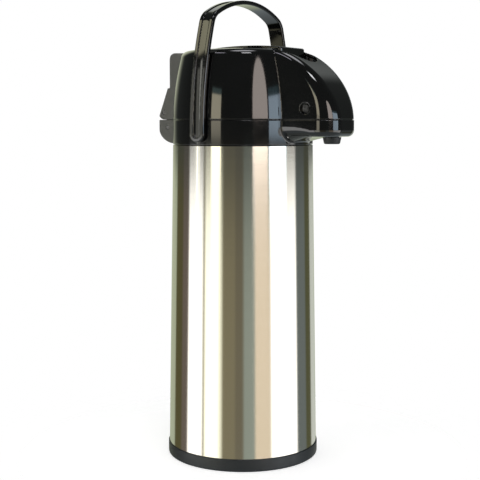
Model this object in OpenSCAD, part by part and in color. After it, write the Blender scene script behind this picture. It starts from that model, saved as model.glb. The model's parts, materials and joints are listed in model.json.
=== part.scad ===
// Thermal coffee airpot: a tall double-walled steel flask on a black foot ring, with a plastic
// collar and spout nose, a hinged pump lid with a push button, a lid latch and a carrying bail.
// Millimetres. The flask stands on z = 0 with its axis on Z. The spout points to -Y, and the
// lid's hinge is at +Y.

/* [Flask] */
// Radius of the foot ring
foot_r = 77; // [76.8:0.1:78]
// Height of the foot ring
foot_h = 13; // [12:0.5:14]
// Radius of the steel shell where it meets the foot ring
shell_foot_r = 76; // [75.6:0.1:76.2]
// Radius of the steel shell under the collar
shell_top_r = 70.6; // [70.2:0.1:70.8]
// Height of the steel shell's upper edge
shell_top_z = 317; // [316:0.5:317]
// Thickness of the steel sheet
sheet = 0.6; // [0.5:0.1:0.8]
// Inner radius of the liner that holds the coffee
liner_r = 62.4; // [58:0.2:63]
// Inner radius of the liner's neck
neck_r = 33; // [32.6:0.1:33]

/* [Head] */
// Radius of the collar and of the lid's lower edge
collar_r = 70.6; // [70.6:0.1:71]
// Height of the seam between the collar and the lid
seam_z = 342; // [341.8:0.1:342.2]
// Height of the middle of the lid's crown
crown_z = 413; // [412:0.5:413]
// Thickness of the plastic mouldings
wall = 2.6; // [2.2:0.1:2.8]
// Radius of the edge between the lid's side and its crown
shoulder_r = 5.5; // [4.5:0.5:6.5]
// Half the width of the spout nose
nose_half = 27; // [26:0.5:27]
// How far the nose reaches in front of the flask's axis
nose_reach = 121.3; // [119:0.1:122]
// Radius of the nose's upright front corners
nose_corner_r = 19; // [16:0.5:20]
// Radius that rounds the nose's upper edges
nose_edge_r = 8; // [5:0.5:9]

/* [Button] */
// Half the width of the well that the button slides in
well_half = 22; // [21:0.5:22.5]
// Gap between the button and its well
button_gap = 0.6; // [0.5:0.1:0.8]
// Height of the middle of the button
button_z = 414.5; // [413.5:0.5:415]

/* [Handle] */
// Height of the top of the handle
handle_z = 460; // [458:1:462]
// Half the spread of the handle's legs, outside, at their pivots
handle_half = 76.5; // [76.4:0.1:77]
// Thickness of the handle strap
handle_t = 4.2; // [3.9:0.1:4.2]
// Width of the handle strap
handle_w = 17; // [15:0.5:18]
// Outer radius of the handle's two upper corners
handle_corner_r = 18; // [14:0.5:19]

/* [Hinge] */
// Distance of the lid's hinge pin behind the flask's axis
hinge_y = 83.9; // [83.5:0.1:84.5]
// Height of the lid's hinge pin
hinge_z = 350.1; // [349.8:0.1:350.4]
// Half the width of the hinge block
hinge_half = 24; // [23:0.5:24.5]
// Radius of the lid's hinge pin
hinge_pin_r = 2.2; // [2:0.1:2.4]
// Radius of the upright edges of the hinge cover
hinge_edge_r = 5; // [4:0.5:6]

/* [Hidden] */
$fn = 96;

eps = 0.01;
slit = 0.15;            // gap between pieces that are fixed together
run = 0.05;             // radial clearance of a shaft that turns

gloss_black = [0.05, 0.05, 0.05];
matte_black = [0.16, 0.16, 0.16];
satin_black = [0.09, 0.1, 0.11];
dark_steel = [0.25, 0.25, 0.26];
satin_steel = [0.76, 0.74, 0.68];
bright_steel = [0.8, 0.8, 0.82];
clear_rubber = [0.82, 0.82, 0.8];
dark_rubber = [0.1, 0.1, 0.1];
inner_white = [0.86, 0.86, 0.84];

// Flask
foot_edge_r = 2.5;
foot_bore_r = 62;
pad_ring_r = 68.5;
pad_r = 4.5;
pad_t = 1.5;
shell_taper = (shell_foot_r - shell_top_r) / (shell_top_z - foot_h);
cover_screw_ring_r = 40;
jacket_z = 17;
neck_top_z = 327;
liner_floor_z = 24;
liner_shoulder_z = 290;

// Collar
collar_z = 317.8;
deck_z = 338.5;
deck_t = 2;
collar_top_z = seam_z - 0.2;
collar_bore_r = collar_r - 2.5;
neck_ring_r = 42;
neck_ring_z = 322.4;
neck_ring_top = 341;
lug_ring_r = 46;
lower_nose_z = 326;
lower_nose_edge_r = 6;
lower_nose_proud = 0.4;
keel_z = 331;

// Spout
stem_y = -20;
stem_r = 4.5;
stem_bore = 3.4;
elbow_z = 333;
elbow_r = 4.6;
port_y = -38;
pipe_r = 4.4;
pipe_bore = 3.2;
nozzle_y = -105.3;
pipe_end_z = 334.2;
nozzle_top_r = 9;
nozzle_tip_r = 7.6;
nozzle_z = 319;
outlet_r = 4.2;

// Lid
lid_z = seam_z + 0.3;
dome_k = 0.0058;
dome_power = 1.75;
shoulder_z = crown_z - 7.4;
nose_back = 45;
nose_power = 1.7;
nose_top = crown_z - 1;
well_front = 62;
well_rear = 14;
well_floor_z = 392;
well_wall = 2;
post_ring_r = 55;
lid_base_z = 343;
lid_base_t = 2.5;
bellows_z = lid_base_z + lid_base_t;
bellows_top = 386;

// Latch
latch_y = -91.3;
latch_z = 352.6;
latch_pin_r = 2.5;
latch_hole_r = 5.5;
latch_seat_x = 23.5;
catch_y = -98.5;

// Handle
handle_pivot_z = 329;
handle_lean = 0.0014;
stud_r = 4;
stud_end_x = handle_half - 2.1;
groove_half = 4.5;
groove_deep = 1;

// Points of an arc from angle a0 to a1
function arc(c, r, a0, a1, n) = [for (i = [0:n]) c + r * [cos(a0 + (a1 - a0) * i / n), sin(a0 + (a1 - a0) * i / n)]];

// A profile given as [Y, Z] points, carried across the airpot along X
module across(half) {
    rotate([90, 0, 90]) linear_extrude(2 * half, center = true) children();
}

// A cylinder along X between two distances from the middle plane, on both sides
module cross_pins(r, x0, x1, y, z) {
    for (side = [-1, 1])
        translate([side * (x0 + x1) / 2, y, z]) rotate([0, 90, 0]) cylinder(r = r, h = x1 - x0, center = true);
}

// A round bar along X
module cross_bar(r, half, y, z) {
    translate([0, y, z]) rotate([0, 90, 0]) cylinder(r = r, h = 2 * half, center = true);
}

module ring(r_out, r_in, z0, z1) {
    rotate_extrude() translate([r_in, z0]) square([r_out - r_in, z1 - z0]);
}

module around(radius, count, start) {
    for (i = [0:count - 1]) rotate(start + i * 360 / count) translate([radius, 0, 0]) children();
}

// A round wire wound into a helix about Z
module coil(radius, wire_r, turns, height, steps = 16, sides = 6) {
    count = turns * steps;
    points = [for (i = [0:count]) for (j = [0:sides - 1])
        let (a = 360 * i / steps, b = 360 * j / sides, r = radius + wire_r * cos(b))
        [r * cos(a), r * sin(a), height * i / count + wire_r * sin(b)]];
    skin = [for (i = [0:count - 1]) for (j = [0:sides - 1])
        [i * sides + j, (i + 1) * sides + j, (i + 1) * sides + (j + 1) % sides, i * sides + (j + 1) % sides]];
    ends = [[for (j = [0:sides - 1]) j], [for (j = [sides - 1:-1:0]) count * sides + j]];
    polyhedron(points, concat(skin, ends));
}

// ---- Flask ----

function shell_r(z) = shell_foot_r - shell_taper * (z - foot_h);

module base_ring() {
    color(satin_black) difference() {
        rotate_extrude() polygon(concat(
            [[foot_bore_r, 0]],
            arc([foot_r - foot_edge_r, foot_edge_r], foot_edge_r, -90, 0, 6),
            [[foot_r, foot_h - 0.6], [foot_r - 0.6, foot_h], [75.1, foot_h], [75.1, 16.5], [72.6, 16.5],
             [72.6, 3], [foot_bore_r, 3]]));
        around(pad_ring_r, 4, 45) translate([0, 0, -1]) cylinder(r = pad_r, h = pad_t + 1);
    }
}

module foot_pads() {
    color(dark_rubber) around(pad_ring_r, 4, 45) cylinder(r = pad_r - slit, h = pad_t);
}

module bottom_cover() {
    color(matte_black) difference() {
        union() {
            cylinder(r = 12, h = 2);
            translate([0, 0, 0.8]) cylinder(r = foot_bore_r - 0.3, h = 4.2);
            ring(66, 60, 3, 5);
        }
        around(cover_screw_ring_r, 3, 90) translate([0, 0, -1]) cylinder(r = 1.8, h = 8);
        around(cover_screw_ring_r, 3, 90) translate([0, 0, -1]) cylinder(r = 3.8, h = 4);
    }
}

module base_screws() {
    color(bright_steel) around(cover_screw_ring_r, 3, 90) {
        translate([0, 0, 3]) cylinder(r = 1.6, h = 11);
        difference() {
            translate([0, 0, 1.4]) cylinder(r = 3.5, h = 1.6);
            translate([0, 0, 1]) cube([4.4, 0.9, 1.6], center = true);
            translate([0, 0, 1]) cube([0.9, 4.4, 1.6], center = true);
        }
    }
}

module outer_shell() {
    color(satin_steel) rotate_extrude() polygon([
        [shell_foot_r, foot_h], [shell_top_r, shell_top_z],
        [shell_top_r - sheet, shell_top_z], [shell_foot_r - sheet, foot_h]]);
}

// Dished top of the shell, welded to its upper edge and to the neck
module shell_shoulder() {
    color(satin_steel) rotate_extrude() polygon([
        [shell_top_r, shell_top_z], [shell_top_r - 0.6, shell_top_z + 0.3],
        [68, shell_top_z + 0.5], [44, 321.5], [36.6, 322], [36.6, neck_top_z],
        [36.1, neck_top_z], [36.1, 321.4], [44, 320.9], [68, shell_top_z]]);
}

module shell_bottom() {
    color(satin_steel) difference() {
        union() {
            translate([0, 0, jacket_z]) cylinder(r = shell_r(jacket_z) - sheet - slit, h = 0.8);
            ring(shell_r(22) - sheet - slit, shell_r(22) - sheet - slit - 0.8, jacket_z, 22);
            around(cover_screw_ring_r, 3, 90) translate([0, 0, 5.2]) cylinder(r = 4, h = jacket_z - 5);
        }
        around(cover_screw_ring_r, 3, 90) translate([0, 0, 4]) cylinder(r = 1.7, h = 12);
    }
}

module vacuum_cap() {
    color(bright_steel) rotate_extrude() polygon([[0, jacket_z], [9, jacket_z], [9, 16.4], [7.5, 15.4], [0, 15]]);
}

module liner() {
    color(bright_steel) ring(liner_r + sheet, liner_r, liner_floor_z + 6, liner_shoulder_z);
}

module liner_floor() {
    color(bright_steel) rotate_extrude() polygon([
        [0, liner_floor_z - sheet], [56, liner_floor_z - sheet], [liner_r + sheet, liner_floor_z + 6],
        [liner_r, liner_floor_z + 6], [55.6, liner_floor_z], [0, liner_floor_z]]);
}

module liner_neck() {
    t = sheet;
    color(bright_steel) rotate_extrude() polygon([
        [liner_r + t, liner_shoulder_z], [56, 305], [neck_r + 2, 314.4], [neck_r + t, 316.5],
        [neck_r + t, neck_top_z - t], [36, neck_top_z - t], [36, neck_top_z], [neck_r, neck_top_z],
        [neck_r, 316], [neck_r + 1.6, 313.8], [55.6, 304.5], [liner_r, liner_shoulder_z]]);
}

module neck_ring() {
    color(inner_white) difference() {
        union() {
            ring(neck_ring_r, neck_r, neck_top_z + 1.2, neck_ring_top);
            ring(neck_ring_r, 36.9, neck_ring_z, neck_top_z + 1.2);
            around(lug_ring_r, 4, 45) translate([0, 0, 330]) cylinder(r = 5.4, h = deck_z - slit - 330);
        }
        around(lug_ring_r, 4, 45) translate([0, 0, 331]) cylinder(r = 1.6, h = 10);
        translate([0, -30, elbow_z]) rotate([90, 0, 0]) cylinder(r = elbow_r + slit, h = 20);
        cylinder(r = neck_r, h = 400);
    }
}

module neck_seal() {
    color(clear_rubber) ring(36.6, neck_r + 0.4, neck_top_z, neck_top_z + 1.2);
}

// ---- Stem and spout ----

module stem_tube() {
    color(clear_rubber) translate([0, stem_y, 0]) difference() {
        translate([0, 0, 28]) cylinder(r = stem_r, h = 298);
        translate([0, 0, 20]) cylinder(r = stem_bore, h = 320);
        translate([0, 0, 28]) rotate([90, 0, 0]) cylinder(r = 3, h = 20, center = true);
    }
}

module elbow_way(r, socket_r, socket_z) {
    translate([0, stem_y, elbow_z]) sphere(r = r + 0.2);
    translate([0, stem_y, elbow_z]) rotate([90, 0, 0]) cylinder(r = r, h = stem_y - port_y);
    translate([0, stem_y, socket_z]) cylinder(r = socket_r, h = elbow_z - socket_z);
}

module stem_elbow() {
    color(inner_white) difference() {
        elbow_way(elbow_r, 6.2, 316);
        translate([0, stem_y, 310]) cylinder(r = stem_r + slit, h = 16);
        translate([0, stem_y, 310]) cylinder(r = stem_bore, h = elbow_z - 310);
        translate([0, stem_y, elbow_z]) sphere(r = stem_bore + 0.2);
        translate([0, stem_y, elbow_z]) rotate([90, 0, 0]) cylinder(r = stem_bore, h = 30);
    }
}

module stem_seal() {
    color(dark_rubber) translate([0, port_y, elbow_z]) rotate([90, 0, 0]) difference() {
        cylinder(r = elbow_r, h = 1.4);
        translate([0, 0, -1]) cylinder(r = stem_bore, h = 4);
    }
}

pipe_run = port_y - 1.7 - nozzle_y;
pipe_rise = atan2(pipe_end_z - elbow_z, pipe_run);

module pipe_way(r, overrun) {
    length = sqrt(pipe_run * pipe_run + pow(pipe_end_z - elbow_z, 2));
    translate([0, nozzle_y, pipe_end_z]) sphere(r = r + 0.4);
    translate([0, nozzle_y, pipe_end_z]) rotate([-90 - pipe_rise, 0, 0]) cylinder(r = r, h = length + overrun);
    translate([0, nozzle_y, 326 - overrun]) cylinder(r = r - 0.2, h = pipe_end_z - 326 + overrun);
}

module spout_pipe() {
    color(inner_white) difference() {
        pipe_way(pipe_r, 0);
        pipe_way(pipe_bore, 2);
    }
}

module spout_nozzle() {
    color(satin_black) translate([0, nozzle_y, 0]) rotate_extrude() polygon(concat(
        [[outlet_r, nozzle_z], [nozzle_tip_r - 1.5, nozzle_z]],
        arc([nozzle_tip_r - 1.5, nozzle_z + 1.5], 1.5, -90, 0, 5),
        [[nozzle_top_r, 325.3], [nozzle_top_r, 325.6], [6.6, 325.6], [6.6, 328.5], [pipe_r + slit, 328.5],
         [pipe_r + slit, 325.6], [outlet_r, 325.6]]));
}

module nozzle_seal() {
    color(dark_rubber) translate([0, nozzle_y, 0]) ring(6.5, pipe_r + slit, 328.6, 329.5);
}

// ---- Collar ----

// Plan of the nose, drawn in by w: straight sides with two round front corners
module nose_plan(w) {
    half = nose_half - w;
    r = nose_corner_r - w;
    front = -nose_reach + w;
    for (side = [-1, 1]) translate([side * (half - r), front + r]) circle(r = r);
    translate([-(half - r), front]) square([2 * (half - r), 20]);
    translate([-half, front + r]) square([2 * half, -20 - front - r]);
}

// Half ellipse below keel_z, standing across the nose at y
module keel_rib(y, depth) {
    half = nose_half + lower_nose_proud;
    translate([0, y, keel_z]) rotate([90, 0, 0]) linear_extrude(eps)
        polygon([for (a = [180:15:360]) [half * cos(a), depth * sin(a)]]);
}

module lower_nose() {
    $fn = 40;
    proud = -lower_nose_proud;
    hull() {
        for (a = [0, 45, 90])
            translate([0, 0, lower_nose_z + lower_nose_edge_r * (1 - cos(a))]) linear_extrude(eps)
                nose_plan(proud + lower_nose_edge_r * (1 - sin(a)));
        translate([0, 0, collar_top_z - eps]) linear_extrude(eps) nose_plan(proud);
    }
    hull() {
        keel_rib(-97, 4.9);
        keel_rib(-82, 7.4);
    }
    hull() {
        keel_rib(-82, 7.4);
        keel_rib(-64, 13);
    }
}

module collar() {
    color(gloss_black) difference() {
        union() {
            rotate_extrude() polygon([
                [collar_bore_r, collar_z], [collar_r - 0.5, collar_z], [collar_r, collar_z + 0.5],
                [collar_r, collar_top_z - 0.5], [collar_r - 0.5, collar_top_z], [collar_bore_r, collar_top_z],
                [collar_bore_r, deck_z + deck_t], [neck_ring_r + 0.3, deck_z + deck_t],
                [neck_ring_r + 0.3, deck_z], [collar_bore_r, deck_z],
                [collar_bore_r, 321.6], [65, 321.6], [65, 320.2], [collar_bore_r, 320.2]]);
            difference() {
                lower_nose();
                translate([0, 0, 300]) cylinder(r = collar_bore_r + 1, h = 60);
            }
            // tongue that the hinge bracket is pinned to
            difference() {
                translate([-8, 60, 330]) cube([16, 23, 9]);
                cylinder(r = collar_r - 1, h = 400);
            }
        }
        // hollow of the nose
        difference() {
            translate([0, 0, 327.6]) linear_extrude(20) nose_plan(3);
            translate([0, 0, 300]) cylinder(r = collar_r, h = 60);
        }
        pipe_way(pipe_r + 0.4, 2);
        translate([0, nozzle_y, 320]) cylinder(r = 6.7, h = 10);
        cross_pins(stud_r + run, 60, 80, 0, handle_pivot_z);
        cross_bar(2.1, 20, 79.3, 334.5);
        around(lug_ring_r, 4, 45) translate([0, 0, 335]) cylinder(r = 1.8, h = 10);
    }
}

module collar_gasket() {
    color(dark_rubber) ring(collar_bore_r - slit, 65.2, 318.1, 320.1);
}

module collar_screws() {
    color(bright_steel) around(lug_ring_r, 4, 45) {
        translate([0, 0, 332]) cylinder(r = 1.5, h = deck_z + deck_t - 332);
        difference() {
            translate([0, 0, deck_z + deck_t]) cylinder(r = 3.2, h = 1.3);
            translate([0, 0, deck_z + deck_t + 1.3]) cube([3.6, 0.8, 1.4], center = true);
            translate([0, 0, deck_z + deck_t + 1.3]) cube([0.8, 3.6, 1.4], center = true);
        }
    }
}

// Plate over the spout pipe, with two slots whose front edges the latch hooks close behind
module spout_cover() {
    color(matte_black) difference() {
        translate([0, 0, 339.4]) linear_extrude(1.5) nose_plan(3.2);
        translate([0, 0, 330]) cylinder(r = collar_r + 0.4, h = 20);
        for (side = [-1, 1]) translate([side * 14 - 5, catch_y, 335]) cube([10, 12.5, 10]);
    }
}

module handle_pins() {
    color(bright_steel) {
        cross_pins(stud_r, collar_bore_r - 0.3, stud_end_x, 0, handle_pivot_z);
        cross_pins(6, collar_bore_r - 2.8, collar_bore_r - 0.3, 0, handle_pivot_z);
    }
}

// ---- Hinge ----

module hinge_bracket() {
    knuckle_half = 14.6;
    color(matte_black) difference() {
        union() {
            across(hinge_half) polygon([[60, 342], [90, 342], [90.7, 341.3], [90.5, 331.8],
                [87.3, 322.5], [81.9, 319.6], [73.8, 318], [60, 318]]);
            across(knuckle_half) {
                translate([hinge_y - 4.4, 341]) square([8.8, hinge_z - 341]);
                translate([hinge_y, hinge_z]) circle(r = 4.4);
            }
        }
        translate([0, 0, 300]) cylinder(r = collar_r + slit, h = 60);
        cross_bar(hinge_pin_r + 0.02, 30, hinge_y, hinge_z);
        cross_bar(2.02, 30, 79.3, 334.5);
        translate([-8.3, 60, 329.7]) cube([16.6, 23.3, 9.6]);
    }
}

module bracket_pin() {
    color(dark_steel) cross_bar(2, hinge_half - 0.4, 79.3, 334.5);
}

module hinge_pin() {
    color(dark_steel) cross_bar(hinge_pin_r, hinge_half - 0.4, hinge_y, hinge_z);
}

module hinge_cover() {
    color(matte_black) difference() {
        intersection() {
            across(hinge_half) polygon(concat(
                [[50, 409.6], [61, 410]],
                arc([69, 400], 8, 80, 0, 6),
                [[78.7, 375], [79.4, 373.6], [88.9, 345.3]],
                arc([hinge_y, hinge_z], 7.5, -50, -90, 4),
                [[60, hinge_z - 7.5]]));
            // round upright edges above the knuckles
            union() {
                translate([0, 0, 340]) linear_extrude(20) translate([-40, 0]) square([80, 100]);
                translate([0, 0, 359]) linear_extrude(60) hinge_block_plan();
            }
        }
        dome_solid(-slit, lid_z - 10);
        // room for the bracket's knuckle
        across(15) translate([hinge_y, hinge_z]) circle(r = 5);
        across(15) translate([hinge_y - 6, hinge_z - 10]) square([14, 10]);
        // hollow behind the dome
        across(hinge_half - wall) polygon([[60, 405.5], [70, 405.5], [75.6, 400], [75.6, 376], [72, 362], [60, 362]]);
        cross_bar(hinge_pin_r + run, 30, hinge_y, hinge_z);
        hinge_screw_holes(1.6, 12);
    }
}

module hinge_block_plan() {
    r = hinge_edge_r;
    translate([-hinge_half, 0]) square([2 * hinge_half, 78.7 - r]);
    translate([r - hinge_half, 0]) square([2 * (hinge_half - r), 100]);
    for (side = [-1, 1]) translate([side * (hinge_half - r), 78.7 - r]) circle(r = r);
}

module hinge_screw_holes(r, length) {
    for (side = [-1, 1]) translate([side * 14, 64, 368]) rotate([-90, 0, 0]) cylinder(r = r, h = length);
}

module hinge_screws() {
    color(bright_steel) for (side = [-1, 1]) translate([side * 14, 62.4, 368]) rotate([-90, 0, 0]) {
        translate([0, 0, -1.4]) cylinder(r = 3, h = 1.4);
        cylinder(r = 1.45, h = 13);
    }
}

// ---- Lid ----

function dome_r(z) = collar_r - dome_k * pow(max(z - seam_z, 0), dome_power);
function dome_lean(z) = atan(dome_k * dome_power * pow(z - seam_z, dome_power - 1));

wall_lean = dome_lean(shoulder_z);
shoulder_c = [dome_r(shoulder_z), shoulder_z] - shoulder_r * [cos(wall_lean), sin(wall_lean)];
shoulder_end = shoulder_c + shoulder_r * [cos(84), sin(84)];
crown_k = (crown_z - shoulder_end[1]) / pow(shoulder_end[0], 2);

// Solid inside the dome's surface, drawn in by w
module dome_solid(w, z0) {
    rotate_extrude() polygon(concat(
        [[0, z0], [dome_r(z0) - w, z0]],
        [for (i = [0:7]) let (z = seam_z + 4 + (shoulder_z - seam_z - 4) * i / 8) [dome_r(z) - w, z]],
        arc(shoulder_c, shoulder_r - w, wall_lean, 84, 6),
        [for (i = [3:-1:0]) let (r = shoulder_end[0] * i / 4) [r, crown_z - crown_k * r * r - w]]));
}

// Side view of the nose above the seam, drawn in by w: a quarter of a superellipse
function nose_side(w, z0) = concat(
    [[-20, z0], [-nose_reach + w, z0]],
    [for (i = [0:16]) let (a = 90 * i / 16)
        [-nose_back - (nose_reach - nose_back - w) * pow(cos(a), 2 / nose_power),
         seam_z + (nose_top - seam_z - w) * pow(sin(a), 2 / nose_power) + (i == 0 ? 1 : 0)]],
    [[-20, nose_top - w]]);

module upper_nose(w, z0) {
    $fn = 40;
    intersection() {
        hull() for (a = [0, 30, 60, 90])
            across(nose_half - w - nose_edge_r * (1 - sin(a))) polygon(nose_side(w + nose_edge_r * (1 - cos(a)), z0));
        translate([0, 0, z0 - 1]) linear_extrude(crown_z - z0 + 2) nose_plan(w);
    }
}

module stadium(half) {
    translate([0, -well_front]) circle(r = half);
    translate([0, well_rear]) circle(r = half);
    translate([-half, -well_front]) square([2 * half, well_front + well_rear]);
}

module lid_shell() {
    color(gloss_black) difference() {
        union() {
            difference() {
                union() {
                    dome_solid(0, lid_z);
                    upper_nose(0, lid_z);
                }
                dome_solid(wall, lid_z - 1);
                upper_nose(wall, lid_z - 1);
            }
            around(post_ring_r, 4, 45) translate([0, 0, bellows_z + slit]) cylinder(r = 3.4, h = 408 - bellows_z);
            cross_pins(7.5, 20.6, nose_half - 1, latch_y, latch_z);
        }
        translate([0, 0, well_floor_z]) linear_extrude(40) stadium(well_half);
        cross_pins(latch_hole_r, latch_seat_x, 30, latch_y, latch_z);
        cross_pins(latch_pin_r + slit, 10, 30, latch_y, latch_z);
        around(post_ring_r, 4, 45) translate([0, 0, 340]) cylinder(r = 1.6, h = 24);
        hinge_screw_holes(1.7, 12);
    }
}

// Wall round the button, under the lid's crown, with the floor of the finger recess in front
module button_well() {
    color(gloss_black) difference() {
        intersection() {
            translate([0, 0, well_floor_z]) linear_extrude(30) stadium(well_half + well_wall);
            union() {
                dome_solid(wall + slit, lid_z);
                upper_nose(wall + slit, lid_z);
            }
        }
        translate([0, 0, well_floor_z + 2]) linear_extrude(40) stadium(well_half);
        // ways through the floor for the button and for the latch's tab
        translate([0, 0, 380]) linear_extrude(40) intersection() {
            stadium(well_half);
            translate([-30, -well_front - 0.4]) square([60, 120]);
        }
        translate([-13.5, -83, 380]) cube([27, 15, 20]);
    }
}

module lid_base() {
    color(inner_white) difference() {
        union() {
            translate([0, 0, lid_base_z]) cylinder(r = 66.5, h = lid_base_t);
            translate([0, 0, 338.2]) cylinder(r = 30, h = 6);
            ring(49.5, 47.5, lid_base_z, 349);
        }
        translate([0, 0, 330]) cylinder(r = 8, h = 30);
        translate([0, 0, 338]) cylinder(r = 20, h = 3.2);
        around(post_ring_r, 4, 45) translate([0, 0, 335]) cylinder(r = 1.8, h = 20);
    }
}

module lid_gasket() {
    color(clear_rubber) ring(39.5, 30.2, neck_ring_top + 0.3, lid_base_z);
}

module lid_screws() {
    color(bright_steel) around(post_ring_r, 4, 45) {
        translate([0, 0, lid_base_z - 1.3]) cylinder(r = 3.1, h = 1.3);
        translate([0, 0, lid_base_z]) cylinder(r = 1.5, h = 16);
    }
}

// A closed convoluted sleeve, with its upper end turned in for the plunger
module bellows() {
    folds = 6;
    pitch = (bellows_top - 1.6 - bellows_z) / folds;
    fold_t = 1.1;
    outside = [for (i = [0:folds - 1]) each [[46, bellows_z + i * pitch], [39, bellows_z + (i + 0.5) * pitch]]];
    inside = [for (i = [folds - 1:-1:0]) each
        [[39 - fold_t, bellows_z + (i + 0.5) * pitch], [46 - fold_t, bellows_z + i * pitch]]];
    color(dark_rubber) rotate_extrude() polygon(concat(
        outside, [[46, bellows_top - 1.6], [46, bellows_top], [25, bellows_top], [25, bellows_top - 1.6],
        [46 - fold_t, bellows_top - 1.6]], inside));
}

module pump_spring() {
    color(bright_steel) translate([0, 0, bellows_z + 1]) coil(20, 1, 7, bellows_top - bellows_z - 3.8);
}

module air_valve() {
    color(clear_rubber) {
        translate([0, 0, 339.8]) cylinder(r = 12, h = 1.2);
        translate([0, 0, 341]) cylinder(r = 3, h = 6);
    }
}

module latch_pin() {
    color(dark_steel) {
        cross_bar(latch_pin_r, latch_seat_x, latch_y, latch_z);
        cross_pins(3.6, latch_seat_x, latch_seat_x + 1.6, latch_y, latch_z);
    }
}

module latch_spring() {
    color(bright_steel) translate([-7.5, latch_y, latch_z]) rotate([0, 90, 0])
        coil(3.8, 0.6, 6, 15, steps = 12);
}

// ---- Button ----

// Plan of the button, drawn in by w: flat in front, round behind
module button_plan(w) {
    half = well_half - button_gap - w;
    translate([0, well_rear]) circle(r = half);
    translate([-half, -well_front + 1.5 + w]) square([2 * half, well_front + well_rear - 1.5 - w]);
}

module push_button() {
    front_z = button_z - 2.8;
    bulge_r = (pow(50, 2) + pow(2.8, 2)) / (2 * 2.8);
    color(gloss_black) difference() {
        intersection() {
            translate([0, 0, 395.4]) linear_extrude(30) button_plan(0);
            across(40) translate([-12, button_z - bulge_r]) circle(r = bulge_r, $fn = 360);
        }
        translate([0, 0, 390]) linear_extrude(front_z - 3 - 390) button_plan(2);
    }
}

module plunger() {
    color(inner_white) difference() {
        union() {
            translate([0, 0, bellows_top + 0.2]) cylinder(r = 43, h = 2.4);
            translate([0, 0, bellows_top + 0.2]) ring(16, 13.5, 0, 22.4);
            for (side = [-1, 1]) translate([side * 10 - 1, -56, bellows_top + 2]) cube([2, 44, 20.6]);
        }
        translate([0, 0, 380]) cylinder(r = 4, h = 40);
        translate([0, 0, bellows_top - 1]) cylinder(r = 10, h = 2.4);
    }
}

module inlet_valve() {
    color(clear_rubber) translate([0, 0, bellows_top + 0.2]) {
        cylinder(r = 9, h = 1);
        cylinder(r = 3, h = 5);
    }
}

// ---- Latch ----

module latch_lever() {
    arm = [[-86.5, 356], [-71, 391], [-67.6, 400.6], [-69.8, 401.6], [-74.2, 392], [-93, 357]];
    color(matte_black) difference() {
        union() {
            for (side = [-1, 1]) translate([side * 10.5, 0, 0]) across(1.5) polygon(arm);
            intersection() {
                across(12) polygon(arm);
                translate([-20, -100, 368]) cube([40, 60, 60]);
            }
            cross_pins(5, 9, 20.2, latch_y, latch_z);
            for (side = [-1, 1]) translate([side * 14, 0, 0])
                across(3) polygon([[-94, 352], [-89.2, 352], [-90.4, 336.4], [-97, 336.4], [-97.7, 337.2], [-94, 339.3]]);
        }
        cross_bar(latch_pin_r + run, 30, latch_y, latch_z);
    }
}

// ---- Handle ----

// Outer edge of the right leg at height z, and its slope
function leg_x(z) = handle_half - handle_lean * pow(z - 330, 2);
function leg_slope(z) = -2 * handle_lean * (z - 330);

bend_z = handle_z - 24;
bend_n = [1, -leg_slope(bend_z)] / sqrt(1 + pow(leg_slope(bend_z), 2));
bend_c = [leg_x(bend_z), bend_z] - handle_corner_r * bend_n;
bend_drop = handle_z - bend_c[1];
arch_r = (pow(bend_c[0], 2) + pow(bend_drop, 2) - pow(handle_corner_r, 2)) / (2 * (bend_drop - handle_corner_r));
arch_c = [0, handle_z - arch_r];
bend_a0 = atan2(bend_n[1], bend_n[0]);
bend_a1 = atan2(bend_c[1] - arch_c[1], bend_c[0]);

// Right half of the hoop's outline from the leg's end to the top, drawn in by w
function hoop_half(w) = concat(
    [for (i = [0:12]) let (z = 315 + (bend_z - 315) * i / 13, s = leg_slope(z))
        [leg_x(z), z] - w * [1, -s] / sqrt(1 + s * s)],
    arc(bend_c, handle_corner_r - w, bend_a0, bend_a1, 6),
    arc(arch_c, arch_r - w, bend_a1 + 5, 90, 6));

function flipped(points, first) = [for (i = [first:-1:0]) [-points[i][0], points[i][1]]];
function backwards(points) = [for (i = [len(points) - 1:-1:0]) points[i]];

module hoop(w0, w1, half) {
    outside = hoop_half(w0);
    inside = hoop_half(w1);
    last = len(outside) - 1;
    rotate([90, 0, 0]) linear_extrude(2 * half, center = true)
        polygon(concat(outside, flipped(outside, last - 1), backwards(flipped(inside, last - 1)), backwards(inside)));
}

module handle() {
    half = handle_w / 2;
    color(gloss_black) difference() {
        intersection() {
            hoop(0, handle_t, half);
            across(90) {
                translate([0, handle_pivot_z]) circle(r = half);
                translate([-half, handle_pivot_z]) square([handle_w, 200]);
            }
        }
        // shallow channel along the outside
        intersection() {
            hoop(-1, groove_deep, groove_half);
            across(90) {
                translate([0, handle_pivot_z]) circle(r = groove_half);
                translate([-groove_half, handle_pivot_z]) square([2 * groove_half, 200]);
            }
        }
        cross_pins(stud_r + run, 60, stud_end_x + 0.1, 0, handle_pivot_z);
    }
}

base_ring();
foot_pads();
bottom_cover();
base_screws();
outer_shell();
shell_bottom();
vacuum_cap();
shell_shoulder();
liner();
liner_floor();
liner_neck();
neck_ring();
neck_seal();
collar();
collar_gasket();
collar_screws();
stem_tube();
stem_elbow();
stem_seal();
spout_pipe();
spout_nozzle();
nozzle_seal();
spout_cover();
handle_pins();
hinge_bracket();
bracket_pin();
hinge_pin();
handle();
lid_shell();
button_well();
hinge_cover();
hinge_screws();
lid_base();
lid_gasket();
lid_screws();
bellows();
pump_spring();
air_valve();
latch_pin();
latch_spring();
push_button();
plunger();
inlet_valve();
latch_lever();
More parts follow.
